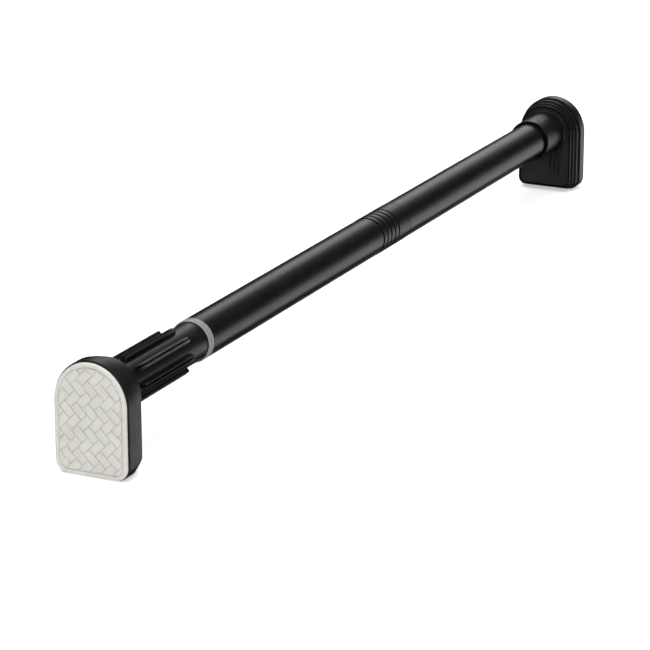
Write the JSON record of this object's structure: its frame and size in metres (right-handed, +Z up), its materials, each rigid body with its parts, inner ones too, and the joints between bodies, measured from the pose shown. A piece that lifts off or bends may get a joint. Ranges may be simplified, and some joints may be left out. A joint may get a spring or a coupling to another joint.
{
  "type": "bed cargo bar",
  "caption": "Telescopic twist-to-tighten cargo bar with D-shaped feet and soft pads that wedge between two truck-bed walls.",
  "frame": {"origin": "on the floor plane under the bar's middle, fully closed: bottom centre of the bounding box", "axes": "+X along the bar from the gripped (near) foot to the plain (far) foot, +Y across the feet, +Z up towards the feet's arches"},
  "size_m": [1.018, 0.0696, 0.0992],
  "materials": {
    "pad": "matt moulded thermoplastic rubber",
    "foot_plastic": "fine-grained black ABS",
    "grip_plastic": "satin black ABS",
    "collar_plastic": "satin black nylon",
    "tube_coat": "satin black powder coat on steel tube",
    "ring_grey": "satin grey acetal",
    "mouth_rubber": "matt black rubber",
    "nylon": "natural nylon",
    "zinc_steel": "bright zinc-plated steel"
  },
  "bodies": {
    "left_half": {"left_tube": "tube_coat", "thrust_ring": "ring_grey", "mouth_bush": "nylon", "collar": "collar_plastic", "guide_bush": "nylon"},
    "grip": {"grip_sleeve": "grip_plastic", "drive_nut": "zinc_steel", "grip_clip": "zinc_steel", "grip_washer": "zinc_steel"},
    "near_foot": {"near_pad": "pad", "near_shell": "foot_plastic", "near_back_plate": "foot_plastic", "near_steel_plate": "zinc_steel", "near_screw_1": "zinc_steel", "near_screw_2": "zinc_steel", "near_screw_3": "zinc_steel", "near_screw_4": "zinc_steel", "screw_rod": "zinc_steel", "rod_lock_nut": "zinc_steel", "rod_stop": "nylon", "rod_stop_screw": "zinc_steel"},
    "cam": {"cam_ring": "nylon"},
    "right_half": {"lock_spindle": "zinc_steel", "inner_tube": "tube_coat", "spacer_bush_1": "nylon", "spacer_bush_2": "nylon", "right_tube": "tube_coat", "far_plug": "nylon", "plug_nut": "zinc_steel", "swivel_bolt": "zinc_steel"},
    "far_foot": {"far_pad": "pad", "far_shell": "foot_plastic", "far_back_plate": "foot_plastic", "far_steel_plate": "zinc_steel", "far_screw_1": "zinc_steel", "far_screw_2": "zinc_steel", "far_screw_3": "zinc_steel", "far_screw_4": "zinc_steel", "swivel_washer": "zinc_steel", "mouth_ring": "mouth_rubber"}
  },
  "joints": [
    {"name": "grip_turn", "type": "hinge", "parent": "left_half", "child": "grip", "pos_m": [-0.4, 0, 0.0654], "axis": [1, 0, 0], "range_deg": [0, 3250]},
    {"name": "screw_slide", "type": "slide", "parent": "left_half", "child": "near_foot", "axis": [-1, 0, 0], "range_m": [0, 0.045]},
    {"name": "tube_extend", "type": "slide", "parent": "left_half", "child": "cam", "axis": [1, 0, 0], "range_m": [0, 0.25]},
    {"name": "twist_lock", "type": "hinge", "parent": "cam", "child": "right_half", "pos_m": [0, 0, 0.0654], "axis": [1, 0, 0], "range_deg": [0, 60]},
    {"name": "far_foot_swivel", "type": "hinge", "parent": "right_half", "child": "far_foot", "pos_m": [0.47, 0, 0.0654], "axis": [1, 0, 0], "continuous": true}
  ],
  "couplings": [
    {"joint": "grip_turn", "follows": "screw_slide", "rad_per_m": 1256.6}
  ]
}
